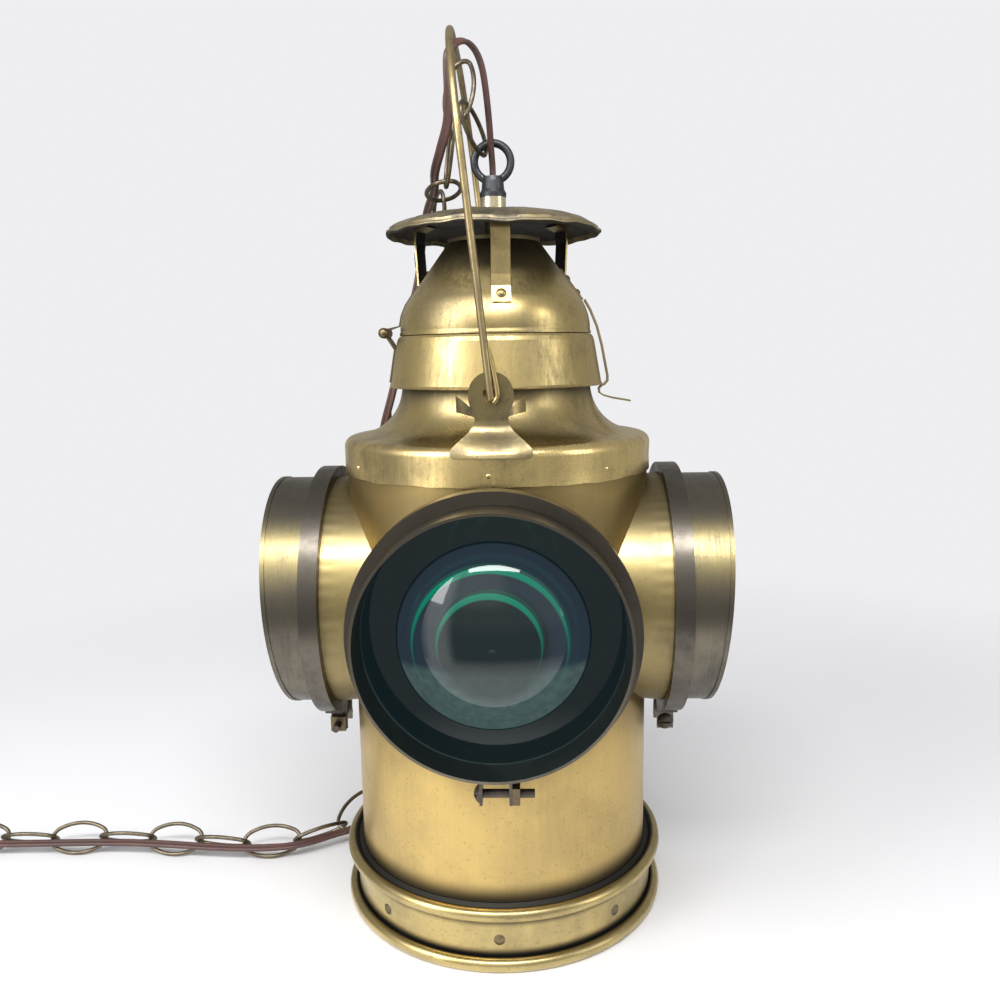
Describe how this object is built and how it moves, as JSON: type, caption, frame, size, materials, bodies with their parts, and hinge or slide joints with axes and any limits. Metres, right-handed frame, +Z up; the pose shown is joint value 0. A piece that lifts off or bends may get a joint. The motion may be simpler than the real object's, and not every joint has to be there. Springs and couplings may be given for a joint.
{
  "type": "railroad lantern",
  "caption": "Antique brass signal lantern with hooded lenses all round, a hinged lid with a spring latch, a wire bail, a hanging chain and a brown lamp cord.",
  "frame": {"origin": "centre of the foot ring, on the surface that the lantern stands on", "axes": "+Z up along the body's axis, -Y out through the front lens, +X to the right of the front lens"},
  "size_m": [0.628, 0.266, 0.5111],
  "materials": {
    "aged_brass": "antique, satin, with olive-brown patina",
    "bright_brass": "polished, slightly worn",
    "dark_brass": "dull brown patina",
    "bronzed_steel": "dark bronzed sheet, satin",
    "screw_steel": "dull, browned",
    "black_iron": "cast, dark grey",
    "chain_wire": "bronzed wire",
    "green_glass": "pressed signal green",
    "red_glass": "pressed signal red",
    "porcelain": "glazed insulator",
    "brown_cord": "soft gloss covering",
    "brown_plug": "moulded, soft gloss"
  },
  "bodies": {
    "root": {"body_shell": "aged_brass", "base_collar": "aged_brass", "base_plate": "dark_brass", "base_rivets": "dark_brass", "shoulder_cap": "aged_brass", "chimney_band": "aged_brass", "neck_front": "bright_brass", "neck_right": "bright_brass", "neck_back": "bright_brass", "neck_left": "bright_brass", "clamp_front": "bronzed_steel", "clamp_right": "bronzed_steel", "clamp_back": "bronzed_steel", "clamp_left": "bronzed_steel", "lens_front": "green_glass", "lens_right": "red_glass", "lens_back": "green_glass", "lens_left": "red_glass", "hood_front": "bronzed_steel", "hood_right": "bronzed_steel", "hood_back": "bronzed_steel", "hood_left": "bronzed_steel", "clamp_screws": "screw_steel", "clamp_nuts": "screw_steel", "ear_front": "aged_brass", "ear_back": "aged_brass", "hinge_lower_leaf": "dark_brass", "hinge_pin": "dark_brass", "chain_standing": "chain_wire", "chain_hanging": "chain_wire", "chain_floor": "chain_wire", "cord_run": "brown_cord", "cord_coil": "brown_cord", "plug": "brown_plug", "plug_prongs": "bright_brass"},
    "bail": {"bail": "aged_brass"},
    "lid": {"hinge_upper_leaf": "dark_brass", "lid_dome": "aged_brass", "canopy": "aged_brass", "canopy_straps": "aged_brass", "strap_rivets": "dark_brass", "eye_collar": "bright_brass", "eye_loop": "black_iron", "lamp_tube": "dark_brass", "lamp_socket": "bright_brass", "socket_insulator": "porcelain", "latch_plate": "aged_brass", "latch_rivets": "dark_brass"},
    "latch": {"latch_spring": "aged_brass"}
  },
  "joints": [
    {"name": "lid_hinge", "type": "hinge", "parent": "root", "child": "lid", "pos_m": [-0.0655, 0, 0.3488], "axis": [0, -1, 0], "range_deg": [0, 100], "deforming": ["chain_standing", "chain_hanging", "chain_floor", "cord_run"]},
    {"name": "bail_pivot", "type": "hinge", "parent": "root", "child": "bail", "pos_m": [0, 0, 0.3132], "axis": [0, 1, 0], "range_deg": [-94, 106]},
    {"name": "latch_flex", "type": "hinge", "parent": "lid", "child": "latch", "pos_m": [0.0528, 0, 0.3664], "axis": [0, -1, 0], "range_deg": [0, 8], "stiffness_Nm_per_rad": 0.5}
  ]
}
